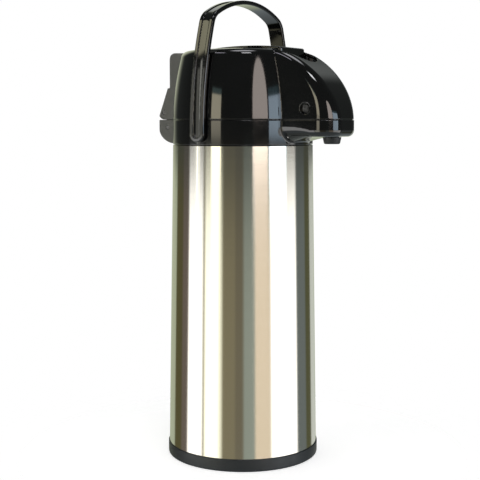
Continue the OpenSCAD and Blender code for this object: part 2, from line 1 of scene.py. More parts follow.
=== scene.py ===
"""Looks for the thermal coffee airpot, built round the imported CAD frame.

Smooth mouldings are made as solids of a distance function, in metres: each function is negative
inside the piece, and net() turns it into a mesh whose points lie on the surface. Round pieces are
lathed, and the pump spring is a coil of wire. Places and sizes come from the boxes of the CAD nodes.
"""
import json
import math

import bmesh
import bpy
import numpy as np
from mathutils import Matrix, Vector


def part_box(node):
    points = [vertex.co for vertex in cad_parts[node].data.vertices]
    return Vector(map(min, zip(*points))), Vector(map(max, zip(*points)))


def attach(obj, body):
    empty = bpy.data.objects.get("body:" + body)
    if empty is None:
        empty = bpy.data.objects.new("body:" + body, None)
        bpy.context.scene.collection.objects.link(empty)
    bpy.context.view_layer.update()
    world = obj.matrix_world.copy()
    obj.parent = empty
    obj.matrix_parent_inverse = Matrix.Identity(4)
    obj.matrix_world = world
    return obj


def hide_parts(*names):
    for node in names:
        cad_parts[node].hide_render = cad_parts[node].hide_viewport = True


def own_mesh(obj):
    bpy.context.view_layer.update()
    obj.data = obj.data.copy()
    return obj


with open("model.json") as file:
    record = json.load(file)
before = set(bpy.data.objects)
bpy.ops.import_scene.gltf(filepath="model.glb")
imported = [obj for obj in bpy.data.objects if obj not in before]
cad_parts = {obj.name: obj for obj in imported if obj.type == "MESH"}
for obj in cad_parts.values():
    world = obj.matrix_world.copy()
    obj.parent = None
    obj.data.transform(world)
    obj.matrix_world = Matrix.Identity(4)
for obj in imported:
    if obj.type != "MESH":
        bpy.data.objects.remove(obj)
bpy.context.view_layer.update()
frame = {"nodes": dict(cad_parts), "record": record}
MM = 0.001


# ---------------------------------------------------------------- distance functions

def both(a, b, r=0.0):
    """Inside a and inside b, with the edge between them rounded."""
    if np.isscalar(r) and r == 0:
        return np.maximum(a, b)
    return np.minimum(np.maximum(a, b), -r) + np.hypot(np.maximum(a + r, 0), np.maximum(b + r, 0))


def either(a, b, r=0.0):
    """Inside a or inside b, with a fillet between them."""
    return -both(-a, -b, r)


def without(a, b, r=0.0):
    """Inside a and outside b."""
    return both(a, -b, r)


def slab(v, low, high):
    """Between two parallel planes."""
    return np.maximum(low - v, v - high)


def net(name, f, low, high, step):
    """Mesh of the surface f = 0 inside a box: one point for each cell that it crosses, moved onto it."""
    counts = [max(4, int(math.ceil((h - l) / step)) + 5) for l, h in zip(low, high)]
    axes = [l - 2.37 * step + step * np.arange(n) for l, n in zip(low, counts)]
    values = f(*np.meshgrid(*axes, indexing="ij", sparse=True))
    values = np.ascontiguousarray(np.broadcast_to(values, counts))
    cells = tuple(n - 1 for n in counts)
    total = np.zeros((cells[0] * cells[1] * cells[2], 3))
    hits = np.zeros(len(total))
    quads = []
    for axis in range(3):
        near = values[tuple(slice(0, -1) if k == axis else slice(None) for k in range(3))]
        far = values[tuple(slice(1, None) if k == axis else slice(None) for k in range(3))]
        crossed = np.argwhere((near < 0) != (far < 0))
        others = [k for k in range(3) if k != axis]
        inner = [(crossed[:, k] > 0) & (crossed[:, k] < cells[k]) for k in others]
        crossed = crossed[inner[0] & inner[1]]
        at = tuple(crossed.T)
        point = crossed.astype(float)
        point[:, axis] += near[at] / (near[at] - far[at])
        ring = []
        for du, dv in ((0, 0), (1, 0), (1, 1), (0, 1)):
            cell = crossed.copy()
            cell[:, others[0]] -= du
            cell[:, others[1]] -= dv
            ring.append(np.ravel_multi_index(cell.T, cells))
        for index in ring:
            for k in range(3):
                total[:, k] += np.bincount(index, point[:, k], len(total))
            hits += np.bincount(index, None, len(total))
        ring = np.stack(ring, 1)
        flip = (near[at] < 0) == (axis == 1)
        quads.append(np.where(flip[:, None], ring[:, ::-1], ring))
    used = np.flatnonzero(hits)
    index = np.full(len(total), -1)
    index[used] = np.arange(len(used))
    points = np.array([a[0] for a in axes]) + step * total[used] / hits[used, None]
    faces = index[np.concatenate(quads)]

    def slope(p, e=0.02 * MM):
        return np.stack([f(*(p + e * d).T) - f(*(p - e * d).T) for d in np.eye(3)], 1) / (2 * e)

    start = points.copy()
    for _ in range(6):
        g = slope(points)
        points = points - 0.8 * f(*points.T)[:, None] * g / np.maximum((g * g).sum(1), 0.2)[:, None]
        points = start + np.clip(points - start, -step, step)
    normals = slope(points)
    normals /= np.maximum(np.linalg.norm(normals, axis=1), 1e-9)[:, None]
    mesh = bpy.data.meshes.new(name)
    mesh.from_pydata(points.tolist(), [], faces.tolist())
    mesh.polygons.foreach_set("use_smooth", np.ones(len(mesh.polygons), bool))
    mesh.normals_split_custom_set_from_vertices(normals.tolist())
    return link(name, mesh)


def link(name, mesh):
    piece = bpy.data.objects.new(name, mesh)
    bpy.context.scene.collection.objects.link(piece)
    return piece


# ---------------------------------------------------------------- lathe

def rounded(points, radii, steps=6):
    """A closed outline whose corners are rounded with the given radii."""
    out = []
    for i, corner in enumerate(points):
        p = Vector(corner)
        a = Vector(points[i - 1]) - p
        b = Vector(points[(i + 1) % len(points)]) - p
        half = a.angle(b) / 2
        reach = min(radii[i] / math.tan(half), 0.49 * a.length, 0.49 * b.length)
        if reach < 1e-7:
            out.append(tuple(p))
            continue
        a.normalize()
        b.normalize()
        centre = p + (a + b).normalized() * (reach / math.cos(half))
        start = p + a * reach - centre
        end = p + b * reach - centre
        turn = math.atan2(start.x * end.y - start.y * end.x, start.dot(end))
        for k in range(steps + 1):
            c, s = math.cos(turn * k / steps), math.sin(turn * k / steps)
            out.append((centre.x + c * start.x - s * start.y, centre.y + s * start.x + c * start.y))
    return out


def solid_mesh(name, points, faces, sharp_degrees=35):
    """Welds doubled points, turns the faces outwards and smooths all but the sharp edges."""
    mesh = bpy.data.meshes.new(name)
    mesh.from_pydata(points, [], faces)
    work = bmesh.new()
    work.from_mesh(mesh)
    bmesh.ops.remove_doubles(work, verts=work.verts, dist=1e-6)
    bmesh.ops.dissolve_degenerate(work, dist=1e-7, edges=work.edges)
    bmesh.ops.recalc_face_normals(work, faces=work.faces)
    work.to_mesh(mesh)
    work.free()
    mesh.polygons.foreach_set("use_smooth", np.ones(len(mesh.polygons), bool))
    mesh.set_sharp_from_angle(angle=math.radians(sharp_degrees))
    return link(name, mesh)


def lathe(name, outline, segments=192, at=(0, 0)):
    """Turns a closed (radius, height) outline round the vertical line through at."""
    n = len(outline)
    points = []
    faces = []
    for k in range(segments):
        a = 2 * math.pi * k / segments
        points += [(at[0] + r * math.cos(a), at[1] + r * math.sin(a), z) for r, z in outline]
        for i in range(n):
            j = (i + 1) % n
            k2 = (k + 1) % segments
            faces.append((k * n + i, k2 * n + i, k2 * n + j, k * n + j))
    return solid_mesh(name, points, faces)


# ---------------------------------------------------------------- dimensions, from the frame

def low(node):
    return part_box(node)[0]


def high(node):
    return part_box(node)[1]


def middle(node):
    return (low(node) + high(node)) / 2


# The button's well: half its width, and the middles of its front and rear end.
WELL_HALF = 22 * MM
WELL_FRONT = -62 * MM
WELL_REAR = 14 * MM
CROWN_CURVE = 0.954                                # fall of the crown, in metres for a metre squared
collar_r = high("collar").x
collar_low = 317.8 * MM
collar_top = high("collar").z
lid_low = low("lid_shell").z
seam = lid_low - 0.3 * MM
crown_z = high("lid_shell").z + CROWN_CURVE * WELL_HALF ** 2
nose_front = low("lid_shell").y
lower_front = low("collar").y
nose_half = 27 * MM
nose_corner = 19 * MM
wall = 2.6 * MM
well_floor = low("button_well").z
latch_y, latch_z = middle("latch_pin").y, middle("latch_pin").z
latch_axis = (latch_y, latch_z)
hinge_y, hinge_z = middle("hinge_pin").y, middle("hinge_pin").z
hinge_axis = (hinge_y, hinge_z)
bracket_axis = (middle("bracket_pin").y, middle("bracket_pin").z)
hinge_half = high("hinge_bracket").x
hinge_screws_z = middle("hinge_screws").z
# The dome's side leans in by dome_drop * rise ** dome_power.
dome_drop = 0.0058 * MM ** -0.75
dome_power = 1.75
nozzle_y = middle("spout_nozzle").y
handle_pivot_z = middle("handle_pins").z


# ---------------------------------------------------------------- lid

def dome(x, y, z):
    """The lid's dome: its side leans in more and more with height, and its crown is a low cap."""
    r = np.sqrt(x * x + y * y)
    rise = np.maximum(z - seam, 1e-9)
    lean = dome_drop * dome_power * rise ** (dome_power - 1)
    side = (r - collar_r + dome_drop * rise ** dome_power) / np.sqrt(1 + lean * lean)
    shoulder_r = 5.5 * MM
    return both(side, z - crown_z + CROWN_CURVE * r * r, shoulder_r)


def nose(x, y, z):
    """The lid's nose: a quarter of a superellipse seen from the side, with round upright corners."""
    back, inside = -45 * MM, -20 * MM
    power, edge = 1.7, 8 * MM
    a = back - nose_front
    b = crown_z - MM - seam
    u = np.maximum(back - y, 1e-7) / a
    v = np.maximum(z - seam, 1e-7) / b
    norm = (u ** power + v ** power) ** (1 / power)
    gu = (u / norm) ** (power - 1) / a
    gv = (v / norm) ** (power - 1) / b
    slope = np.hypot(gu, gv)
    radius = edge + (nose_corner - edge) * (gu / slope) ** 4
    return both(both((norm - 1) / slope, np.abs(x) - nose_half, radius), y - inside)


def well(x, y, grow=0.0):
    """The button's well in plan: a slot with round ends."""
    beyond = np.maximum(np.maximum(WELL_FRONT - y, y - WELL_REAR), 0)
    return np.hypot(x, beyond) - WELL_HALF - grow


def lid_skin(x, y, z):
    crease = 0.25 * MM
    return either(dome(x, y, z), nose(x, y, z), crease)


def crosswise(y, z, radius, at):
    """A round bar along X."""
    return np.hypot(y - at[0], z - at[1]) - radius


def upright(x, y, radius, ring, degrees):
    """A round bar along Z, on a ring about the middle."""
    a = math.radians(degrees)
    return np.hypot(x - ring * math.cos(a), y - ring * math.sin(a)) - radius


def lid_shell(x, y, z):
    """The skin with its screw posts, the latch pin's bosses, and openings for the button, tab and pins."""
    ax = np.abs(x)
    skin = lid_skin(x, y, z)
    post_ring, post_r, post_bore_r, post_depth = 55 * MM, 3.4 * MM, 1.6 * MM, 22 * MM
    boss_r, boss_in, recess_r, recess_in = 7.5 * MM, 20.6 * MM, 5.5 * MM, 23.5 * MM
    pin_bore_r, screw_bore_r, screw_x = 2.65 * MM, 1.7 * MM, 14 * MM
    body = both(without(skin, skin + wall), lid_low - z, 0.4 * MM)
    body = either(body, both(crosswise(y, z, boss_r, latch_axis), slab(ax, boss_in, nose_half - MM)))
    for degrees in range(45, 360, 90):
        post = upright(x, y, post_r, post_ring, degrees)
        body = either(body, both(both(post, slab(z, lid_low + 3.4 * MM, crown_z)), skin + MM))
        bore = upright(x, y, post_bore_r, post_ring, degrees)
        body = without(body, both(bore, z - lid_low - post_depth))
    body = without(body, both(well(x, y), well_floor - z), 0.7 * MM)
    body = without(body, both(crosswise(y, z, recess_r, latch_axis), recess_in - ax), 0.5 * MM)
    body = without(body, both(crosswise(y, z, pin_bore_r, latch_axis), 10 * MM - ax))
    for side in (1, -1):
        screw = np.hypot(x - side * screw_x, z - hinge_screws_z)
        body = without(body, both(screw - screw_bore_r, 60 * MM - y))
    return body


def button_well(x, y, z):
    """The well's wall and floor under the skin, with a slot for the latch's tab."""
    gap, tab_half = 0.15 * MM, 13.5 * MM
    inner = lid_skin(x, y, z) + wall + gap
    floor = well_floor + 2 * MM
    body = both(both(well(x, y, 2 * MM), inner), well_floor - z, 0.4 * MM)
    body = without(body, both(well(x, y), floor - z, 1.2 * MM))
    body = without(body, both(well(x, y), WELL_FRONT - 0.4 * MM - y))
    slot = both(np.abs(x) - tab_half, slab(y, -83 * MM, -68 * MM))
    return without(body, both(slot, slab(z, well_floor - 9 * MM, floor + 4 * MM)), 0.3 * MM)


# ---------------------------------------------------------------- button

def push_button(x, y, z):
    """A long cap with a crown that falls off along it, hollow from below."""
    top, bottom = high("push_button").z, low("push_button").z
    half = high("push_button").x
    front = low("push_button").y
    plan = both(np.hypot(x, np.maximum(y - WELL_REAR, 0)) - half, front - y, 3 * MM)
    reach, fall, crown_y = 50 * MM, 2.8 * MM, -12 * MM
    bulge = (reach ** 2 + fall ** 2) / (2 * fall)
    crown = np.hypot(y - crown_y, z - top + bulge) - bulge
    body = both(both(plan, crown, 1.8 * MM), bottom - z, 0.3 * MM)
    side_wall, top_wall = 2 * MM, 5.8 * MM
    inside = both(plan + side_wall, z - (top - top_wall))
    return without(body, inside, 0.3 * MM)


# ---------------------------------------------------------------- collar

def plan_of_nose(x, y, grow):
    """The nose seen from above, grown by a margin."""
    return both(both(np.abs(x) - nose_half - grow, nose_front - grow - y, nose_corner + grow), y + 20 * MM)


def lower_nose(x, y, z):
    """The nose under the seam. Its round lower edge opens out into a keel that meets the collar."""
    flat, keel_length = lower_front + 24.4 * MM, 36 * MM
    depth, keel_depth = 16 * MM, 8.5 * MM
    edge, keel_edge = 6 * MM, 12 * MM
    along = np.clip((y - flat) / keel_length, 0, 1)
    bottom = seam - depth - keel_depth * along ** 1.6
    radius = edge + keel_edge * along
    side = plan_of_nose(x, y, 0.4 * MM)
    return both(both(side, bottom - z, radius), z - collar_top, 0.3 * MM)


def collar(x, y, z):
    """The ring with its deck, shelf and lower nose, and bores for the spout, handle, hinge and screws."""
    r = np.sqrt(x * x + y * y)
    bore = collar_r - 2.5 * MM
    mouth_r, shelf_r = 42.3 * MM, 65 * MM
    ring = both(r - collar_r, slab(z, collar_low, collar_top), 0.6 * MM)
    deck = slab(z, seam - 3.5 * MM, seam - 1.5 * MM)
    shelf = both(slab(z, collar_low + 2.4 * MM, collar_low + 3.8 * MM), shelf_r - r)
    outside = either(ring, both(lower_nose(x, y, z), bore - r), 1.2 * MM)
    hollow = both(plan_of_nose(x, y, -3 * MM), seam - 14.4 * MM - z)
    hollow = both(hollow, collar_r - r)
    body = without(outside, hollow, 0.4 * MM)
    body = without(body, r - bore)
    body = either(body, both(both(r - bore - 0.5 * MM, mouth_r - r), deck))
    body = either(body, both(r - bore - 0.5 * MM, shelf))
    ring_lip = both(r - collar_r + 2 * MM, collar_r - 3.9 * MM - r)
    nose_lip = both(plan_of_nose(x, y, -1.2 * MM), -plan_of_nose(x, y, -4.2 * MM))
    lip = np.minimum(ring_lip, both(nose_lip, collar_r - 3 * MM - r))
    body = either(body, both(lip, slab(z, seam - 3 * MM, seam + 1.1 * MM)))
    tongue = both(np.abs(x) - 8 * MM, slab(y, 60 * MM, hinge_y - 0.9 * MM))
    tongue = both(tongue, slab(z, seam - 12 * MM, seam - 3 * MM))
    body = either(body, both(tongue, collar_r - 1 * MM - r))
    spigot_r, pipe_r, stud_r, pin_r, screw_r = 6.7 * MM, 4.9 * MM, 4.05 * MM, 2.1 * MM, 1.8 * MM
    spigot = np.hypot(x, y - nozzle_y) - spigot_r
    body = without(body, both(spigot, slab(z, seam - 22 * MM, seam - 12 * MM)), 0.3 * MM)
    pipe = np.hypot(x, z - seam + 8.5 * MM) - pipe_r
    body = without(body, both(pipe, slab(y, nozzle_y, -35 * MM)))
    body = without(body, both(np.hypot(y, z - handle_pivot_z) - stud_r, 60 * MM - np.abs(x)))
    body = without(body, both(crosswise(y, z, pin_r, bracket_axis), np.abs(x) - 20 * MM))
    for degrees in range(45, 360, 90):
        body = without(body, upright(x, y, screw_r, 46 * MM, degrees))
    return body


# ---------------------------------------------------------------- hinge

def hinge_cover(x, y, z):
    """The block behind the dome: a flat-sided cover with round upright edges, over the hinge's knuckles."""
    ax = np.abs(x)
    waist_z = hinge_z + 24.9 * MM
    under_z = hinge_z - 7.5 * MM
    room_half = 15 * MM
    top = z - hinge_z - 59.75 * MM - 0.036 * (y - 61 * MM)
    back = y - 77.0 * MM
    upper = both(top, back, 8 * MM)
    slope = ((z - hinge_z - 23.5 * MM) * 8.8 + (y - 79.4 * MM) * 21.6) / 23.32
    knuckle = crosswise(y, z, 7.5 * MM, hinge_axis)
    heel = both(slope, hinge_z - 4.9 * MM - z)
    front = both(under_z - z, y - hinge_y)
    underside = np.minimum(np.minimum(heel, front), knuckle)
    lower = both(both(slope, z - waist_z, 0.8 * MM), underside, 0.3 * MM)
    profile = either(upper, lower, 0.5 * MM)
    profile = both(profile, under_z - z)
    sides = both(ax - hinge_half, y - 78.7 * MM, 5 * MM)
    sides = np.minimum(sides, np.maximum(ax - hinge_half, z - waist_z))
    body = both(profile, sides, 0.7 * MM)
    body = without(body, dome(x, y, z) - 0.15 * MM)
    body = without(body, both(crosswise(y, z, 5 * MM, hinge_axis), ax - room_half))
    room = both(slab(y, hinge_y - 6 * MM, hinge_y + 8 * MM), z - hinge_z)
    body = without(body, both(room, ax - room_half))
    hollow = both(slab(z, hinge_z + 12 * MM, hinge_z + 55.4 * MM), y - 74 * MM)
    hollow = both(hollow, 60 * MM - y, 1.0 * MM)
    body = without(body, both(hollow, ax - hinge_half + wall))
    pin_bore_r = 2.25 * MM
    return without(body, crosswise(y, z, pin_bore_r, hinge_axis))


def hinge_bracket(x, y, z):
    """The block under the hinge cover, carried down the collar's back in one curve."""
    r = np.sqrt(x * x + y * y)
    top, bottom = seam + 0.35 * MM, low("hinge_bracket").z
    back = high("hinge_bracket").y
    belly_y, belly_z, belly_drop = 67 * MM, seam - 9 * MM, 15.5 * MM
    belly = np.hypot((y - belly_y) / (back - belly_y), np.minimum(z - belly_z, 0) / belly_drop) - 1
    profile = both(both(belly * belly_drop, z - top, 0.8 * MM), bottom - z, 0.8 * MM)
    body = both(profile, np.abs(x) - hinge_half, 0.9 * MM)
    knuckle_r, knuckle_half = 4.4 * MM, 14.6 * MM
    post = both(both(np.abs(y - hinge_y) - knuckle_r, z - hinge_z), seam - 2 * MM - z)
    knuckle = either(post, crosswise(y, z, knuckle_r, hinge_axis))
    body = either(body, both(knuckle, np.abs(x) - knuckle_half, 0.4 * MM))
    body = without(body, r - collar_r - 0.15 * MM)
    hinge_bore_r, bracket_bore_r = 2.22 * MM, 2.02 * MM
    body = without(body, crosswise(y, z, hinge_bore_r, hinge_axis))
    body = without(body, crosswise(y, z, bracket_bore_r, bracket_axis))
    slot = both(slab(z, seam - 12.3 * MM, seam - 2.7 * MM), y - 83.3 * MM)
    return without(body, both(np.abs(x) - 8.3 * MM, slot))


# ---------------------------------------------------------------- handle

def handle(x, y, z):
    """A flat strap bent into a hoop: leaning legs, two tight corners and a long low arch."""
    half, thick = high("handle").x, 4.2 * MM
    top, width = high("handle").z, high("handle").y
    corner, lean = 18 * MM, 0.0014 / MM
    foot = handle_pivot_z + MM
    bend_z = top - 24 * MM
    slope = -2 * lean * (bend_z - foot)
    nx, nz = 1 / math.hypot(1, slope), -slope / math.hypot(1, slope)
    bend_x = half - lean * (bend_z - foot) ** 2
    cx, cz = bend_x - corner * nx, bend_z - corner * nz
    drop = top - cz
    arch = (cx * cx + drop * drop - corner * corner) / (2 * (drop - corner))
    arch_z = top - arch
    ax = np.abs(x)
    lean_here = -2 * lean * (z - foot)
    leg = (ax - half + lean * (z - foot) ** 2) / np.sqrt(1 + lean_here ** 2)
    bend = np.hypot(ax - cx, z - cz) - corner
    over = np.hypot(ax, z - arch_z) - arch
    past_leg = (ax - cx) * -nz + (z - cz) * nx > 0
    to_arch = math.atan2(cz - arch_z, cx)
    past_bend = (z - arch_z) * math.cos(to_arch) - ax * math.sin(to_arch) > 0
    edge = np.where(past_leg, np.where(past_bend, over, bend), leg)
    side = np.hypot(y, np.minimum(z - handle_pivot_z, 0)) - width
    strap = both(both(edge, side, 1.3 * MM), -thick - edge, 0.9 * MM)
    channel_half, channel_depth, stud_r = 4.5 * MM, MM, 4.05 * MM
    channel = np.hypot(y, np.minimum(z - handle_pivot_z, 0)) - channel_half
    channel_floor = channel_depth - (y / (13 * MM)) ** 2 * MM
    strap = without(strap, both(channel, -channel_floor - edge, 0.4 * MM), 0.35 * MM)
    stud = np.hypot(y, z - handle_pivot_z) - stud_r
    return without(strap, both(stud, ax - high("handle_pins").x - 0.1 * MM))


# ---------------------------------------------------------------- latch

def latch_lever(x, y, z):
    """Two arms on the latch pin, joined by a tab above and by two hooks below."""
    ax = np.abs(x)

    def strip(p, q, r0, r1):
        """A tapering bar in side view between two points."""
        px, pz = (latch_y + p[0] * MM), (latch_z + p[1] * MM)
        dx, dz = (q[0] - p[0]) * MM, (q[1] - p[1]) * MM
        t = np.clip(((y - px) * dx + (z - pz) * dz) / (dx * dx + dz * dz), 0, 1)
        return np.hypot(y - px - t * dx, z - pz - t * dz) - (r0 + (r1 - r0) * t) * MM

    arm = strip((1.6, 5.2), (18.8, 38.9), 3.0, 1.3)
    tip = strip((18.8, 38.9), (22.2, 46.6), 1.3, 1.1)
    side_view = either(arm, tip, 2 * MM)
    plates = both(side_view, slab(ax, 9 * MM, 12 * MM), 0.6 * MM)
    tab = both(both(side_view, ax - 12 * MM), latch_z + 15.4 * MM - z, 0.6 * MM)
    hub = both(crosswise(y, z, 5 * MM, latch_axis), slab(ax, 9 * MM, 20.2 * MM), 0.4 * MM)
    hook = either(strip((-0.6, -3), (-1.9, -14.2), 2.2, 1.7), strip((-1.9, -14.4), (-4.6, -14.4), 1.7, 1.3))
    hook = both(hook, latch_z - 16.2 * MM - z)
    hook = both(hook, slab(ax, 11 * MM, 17 * MM), 0.5 * MM)
    body = either(either(plates, tab), either(hub, hook))
    pin_bore_r = 2.55 * MM
    return without(body, crosswise(y, z, pin_bore_r, latch_axis))


# ---------------------------------------------------------------- material tools

class Tree:
    """Builds one material: the shader and the nodes that feed it."""

    def __init__(self, name, **values):
        self.material = bpy.data.materials.new(name)
        self.material.use_nodes = True
        self.nodes = self.material.node_tree.nodes
        self.links = self.material.node_tree.links
        self.shader = self.nodes["Principled BSDF"]
        for socket, value in values.items():
            self.shader.inputs[socket.replace("_", " ")].default_value = value

    def add(self, kind, **settings):
        node = self.nodes.new("ShaderNode" + kind)
        for key, value in settings.items():
            if key in node.inputs:
                node.inputs[key].default_value = value
            else:
                setattr(node, key, value)
        return node

    def link(self, out, to):
        self.links.new(out, to)

    def place(self, scale):
        """Object coordinates, stretched by a scale for each axis."""
        mapping = self.add("Mapping")
        mapping.inputs["Scale"].default_value = scale
        self.link(self.add("TexCoord").outputs["Object"], mapping.inputs["Vector"])
        return mapping.outputs["Vector"]

    def noise(self, scale, detail=3.0, stretch=(1, 1, 1)):
        node = self.add("TexNoise", Scale=scale, Detail=detail)
        self.link(self.place(stretch), node.inputs["Vector"])
        return node.outputs["Fac"]

    def ramp(self, value, stops):
        node = self.add("ValToRGB")
        elements = node.color_ramp.elements
        while len(elements) < len(stops):
            elements.new(0.5)
        for element, (at, colour) in zip(elements, stops):
            element.position = at
            element.color = (*colour, 1)
        self.link(value, node.inputs["Fac"])
        return node.outputs["Color"]

    def mottle(self, value, dark, pale):
        """Lets a noise move the base colour between two colours."""
        self.link(self.ramp(value, [(0.3, dark), (0.7, pale)]), self.shader.inputs["Base Color"])

    def vary(self, socket, value, low_value, high_value):
        """Lets a noise move a plain socket between two values."""
        node = self.add("MapRange")
        node.inputs["From Min"].default_value = 0.3
        node.inputs["From Max"].default_value = 0.7
        node.inputs["To Min"].default_value = low_value
        node.inputs["To Max"].default_value = high_value
        self.link(value, node.inputs["Value"])
        self.link(node.outputs["Result"], self.shader.inputs[socket])

    def bump(self, value, depth, strength=1.0):
        node = self.add("Bump", Strength=strength, Distance=depth)
        self.link(value, node.inputs["Height"])
        self.link(node.outputs["Normal"], self.shader.inputs["Normal"])


def brushed_steel():
    """Satin steel brushed round the flask: fine lines run round it, so highlights smear upwards."""
    t = Tree("brushed_steel", Metallic=1.0, Anisotropic=0.85, Anisotropic_Rotation=0.25, Roughness=0.13)
    lines = t.noise(1.0, 2.0, (25, 25, 2600))
    patches = t.noise(9.0, 2.0, (1, 1, 0.35))
    tangent = t.add("Tangent", direction_type="RADIAL", axis="Z")
    t.link(tangent.outputs["Tangent"], t.shader.inputs["Tangent"])
    t.mottle(patches, (0.80, 0.775, 0.705), (0.84, 0.82, 0.76))
    t.vary("Roughness", lines, 0.115, 0.15)
    t.bump(lines, 0.004 * MM, 0.3)
    return t.material


def bright_steel():
    """Plain sheet with faint drawing lines round it."""
    t = Tree("bright_steel", Metallic=1.0, Roughness=0.2)
    t.mottle(t.noise(30.0), (0.66, 0.66, 0.65), (0.76, 0.76, 0.75))
    t.vary("Roughness", t.noise(1.0, 2.0, (40, 40, 1500)), 0.14, 0.28)
    return t.material


def screw_steel():
    """Plated screws, a little uneven."""
    t = Tree("screw_steel", Metallic=1.0, Roughness=0.25)
    t.mottle(t.noise(260.0), (0.52, 0.53, 0.54), (0.66, 0.66, 0.66))
    t.vary("Roughness", t.noise(420.0), 0.18, 0.34)
    return t.material


def spring_steel():
    """Drawn wire, duller and greyer than the sheet."""
    t = Tree("spring_steel", Metallic=1.0, Roughness=0.3)
    t.mottle(t.noise(180.0), (0.42, 0.42, 0.43), (0.58, 0.58, 0.59))
    t.vary("Roughness", t.noise(300.0), 0.24, 0.4)
    return t.material


def gloss_black():
    """High gloss moulded plastic, with the faint waviness that a mould leaves in it."""
    t = Tree("gloss_black", Roughness=0.07, IOR=1.5, Coat_Weight=1.0, Coat_IOR=1.5, Coat_Roughness=0.05)
    t.mottle(t.noise(35.0), (0.0035, 0.0035, 0.0038), (0.0055, 0.0055, 0.006))
    t.vary("Roughness", t.noise(90.0, 4.0), 0.05, 0.095)
    t.bump(t.noise(55.0, 1.0), 0.02 * MM, 0.35)
    return t.material


def matte_black():
    """Moulded plastic with a fine spark-eroded texture."""
    t = Tree("matte_black", Roughness=0.6, IOR=1.45)
    grain = t.noise(2600.0, 2.0)
    t.mottle(t.noise(45.0), (0.150, 0.151, 0.148), (0.180, 0.181, 0.176))
    t.vary("Roughness", grain, 0.45, 0.68)
    t.bump(grain, 0.05 * MM, 0.6)
    return t.material


def satin_black():
    """Moulded plastic with a soft sheen, a little blue."""
    t = Tree("satin_black", Roughness=0.45, IOR=1.5)
    t.mottle(t.noise(30.0), (0.015, 0.019, 0.023), (0.021, 0.025, 0.029))
    t.vary("Roughness", t.noise(160.0, 4.0), 0.42, 0.52)
    t.bump(t.noise(900.0), 0.02 * MM, 0.4)
    return t.material


def dark_steel():
    """Blackened steel pins, polished at their ends."""
    t = Tree("dark_steel", Metallic=1.0, Roughness=0.16)
    t.mottle(t.noise(240.0), (0.10, 0.10, 0.10), (0.14, 0.14, 0.14))
    t.vary("Roughness", t.noise(420.0), 0.12, 0.24)
    return t.material


def inner_plastic():
    """Off-white plastic inside the flask and the lid, which lets a little light in."""
    t = Tree("inner_plastic", Roughness=0.4, Subsurface_Weight=0.08, Subsurface_Scale=2 * MM)
    t.mottle(t.noise(40.0), (0.72, 0.71, 0.67), (0.78, 0.77, 0.74))
    t.vary("Roughness", t.noise(700.0), 0.33, 0.48)
    return t.material


def clear_silicone():
    """Milky, half clear seals and valves."""
    t = Tree("clear_silicone", Roughness=0.35, Transmission_Weight=0.55, IOR=1.41)
    t.mottle(t.noise(60.0), (0.78, 0.78, 0.75), (0.86, 0.86, 0.84))
    t.vary("Roughness", t.noise(300.0), 0.28, 0.45)
    return t.material


def dark_rubber():
    """Dull rubber with a fine grain."""
    t = Tree("dark_rubber", Roughness=0.7)
    t.mottle(t.noise(80.0), (0.018, 0.018, 0.019), (0.030, 0.030, 0.031))
    t.vary("Roughness", t.noise(900.0), 0.6, 0.8)
    t.bump(t.noise(1400.0), 0.03 * MM, 0.4)
    return t.material


MATERIALS = {
    "brushed_steel": brushed_steel(), "bright_steel": bright_steel(), "screw_steel": screw_steel(),
    "spring_steel": spring_steel(), "dark_steel": dark_steel(), "gloss_black": gloss_black(),
    "matte_black": matte_black(), "satin_black": satin_black(), "inner_plastic": inner_plastic(),
    "clear_silicone": clear_silicone(), "dark_rubber": dark_rubber(),
}
node_slot = {part["node"]: part["material_slot"] for part in frame["record"]["subparts"]}
node_body = {node: body for body, nodes in frame["record"]["behaviour"]["bodies"].items() for node in nodes}


def dress(piece, slot):
    piece.data.materials.clear()
    piece.data.materials.append(MATERIALS[slot])


def stand_for(piece, node):
    """A finer piece takes the place, the body and the finish of a CAD node."""
    dress(piece, node_slot[node])
    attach(piece, node_body[node])
    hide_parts(node)
    return piece


for node, cad_piece in frame["nodes"].items():
    dress(cad_piece, node_slot[node])


def mould(node, shape, step):
    """Meshes a moulding over its CAD node's box."""
    return stand_for(net(node + "_moulded", shape, low(node), high(node), step), node)


mould("lid_shell", lid_shell, 0.8 * MM)
mould("button_well", button_well, 0.8 * MM)
mould("push_button", push_button, 0.7 * MM)
mould("collar", collar, 0.8 * MM)
mould("hinge_cover", hinge_cover, 0.7 * MM)
mould("hinge_bracket", hinge_bracket, 0.7 * MM)
mould("handle", handle, 0.7 * MM)
mould("latch_lever", latch_lever, 0.5 * MM)


# ---------------------------------------------------------------- round pieces

def outer_shell():
    """The conical sheet, in a few steps of height."""
    foot_r, foot_z = high("outer_shell").x, low("outer_shell").z
    top_r, top_z = high("shell_shoulder").x, high("outer_shell").z
    sheet, steps = 0.6 * MM, 12
    outline = []
    for k in range(steps + 1):
        outline.append((foot_r + (top_r - foot_r) * k / steps, foot_z + (top_z - foot_z) * k / steps))
    outline += [(top_r - sheet, top_z), (foot_r - sheet, foot_z)]
    return lathe("outer_shell_spun", outline, 256)


def base_ring():
    """The foot: an angle in section, with a rim that stands up inside the shell."""
    r, top = high("base_ring").x, low("outer_shell").z
    inner, rim_out, rim_in = 62 * MM, 75.1 * MM, 72.6 * MM
    rim_top, foot_top = top + 3.5 * MM, 3 * MM
    corners = [(inner, 0), (r, 0), (r, top), (rim_out, top), (rim_out, rim_top),
               (rim_in, rim_top), (rim_in, foot_top), (inner, foot_top)]
    radii = [0.4 * MM, 2.5 * MM, 0.7 * MM, 0.05 * MM, 0.3 * MM, 0.3 * MM, 0.6 * MM, 0.4 * MM]
    return lathe("base_ring_turned", rounded(corners, radii), 256)


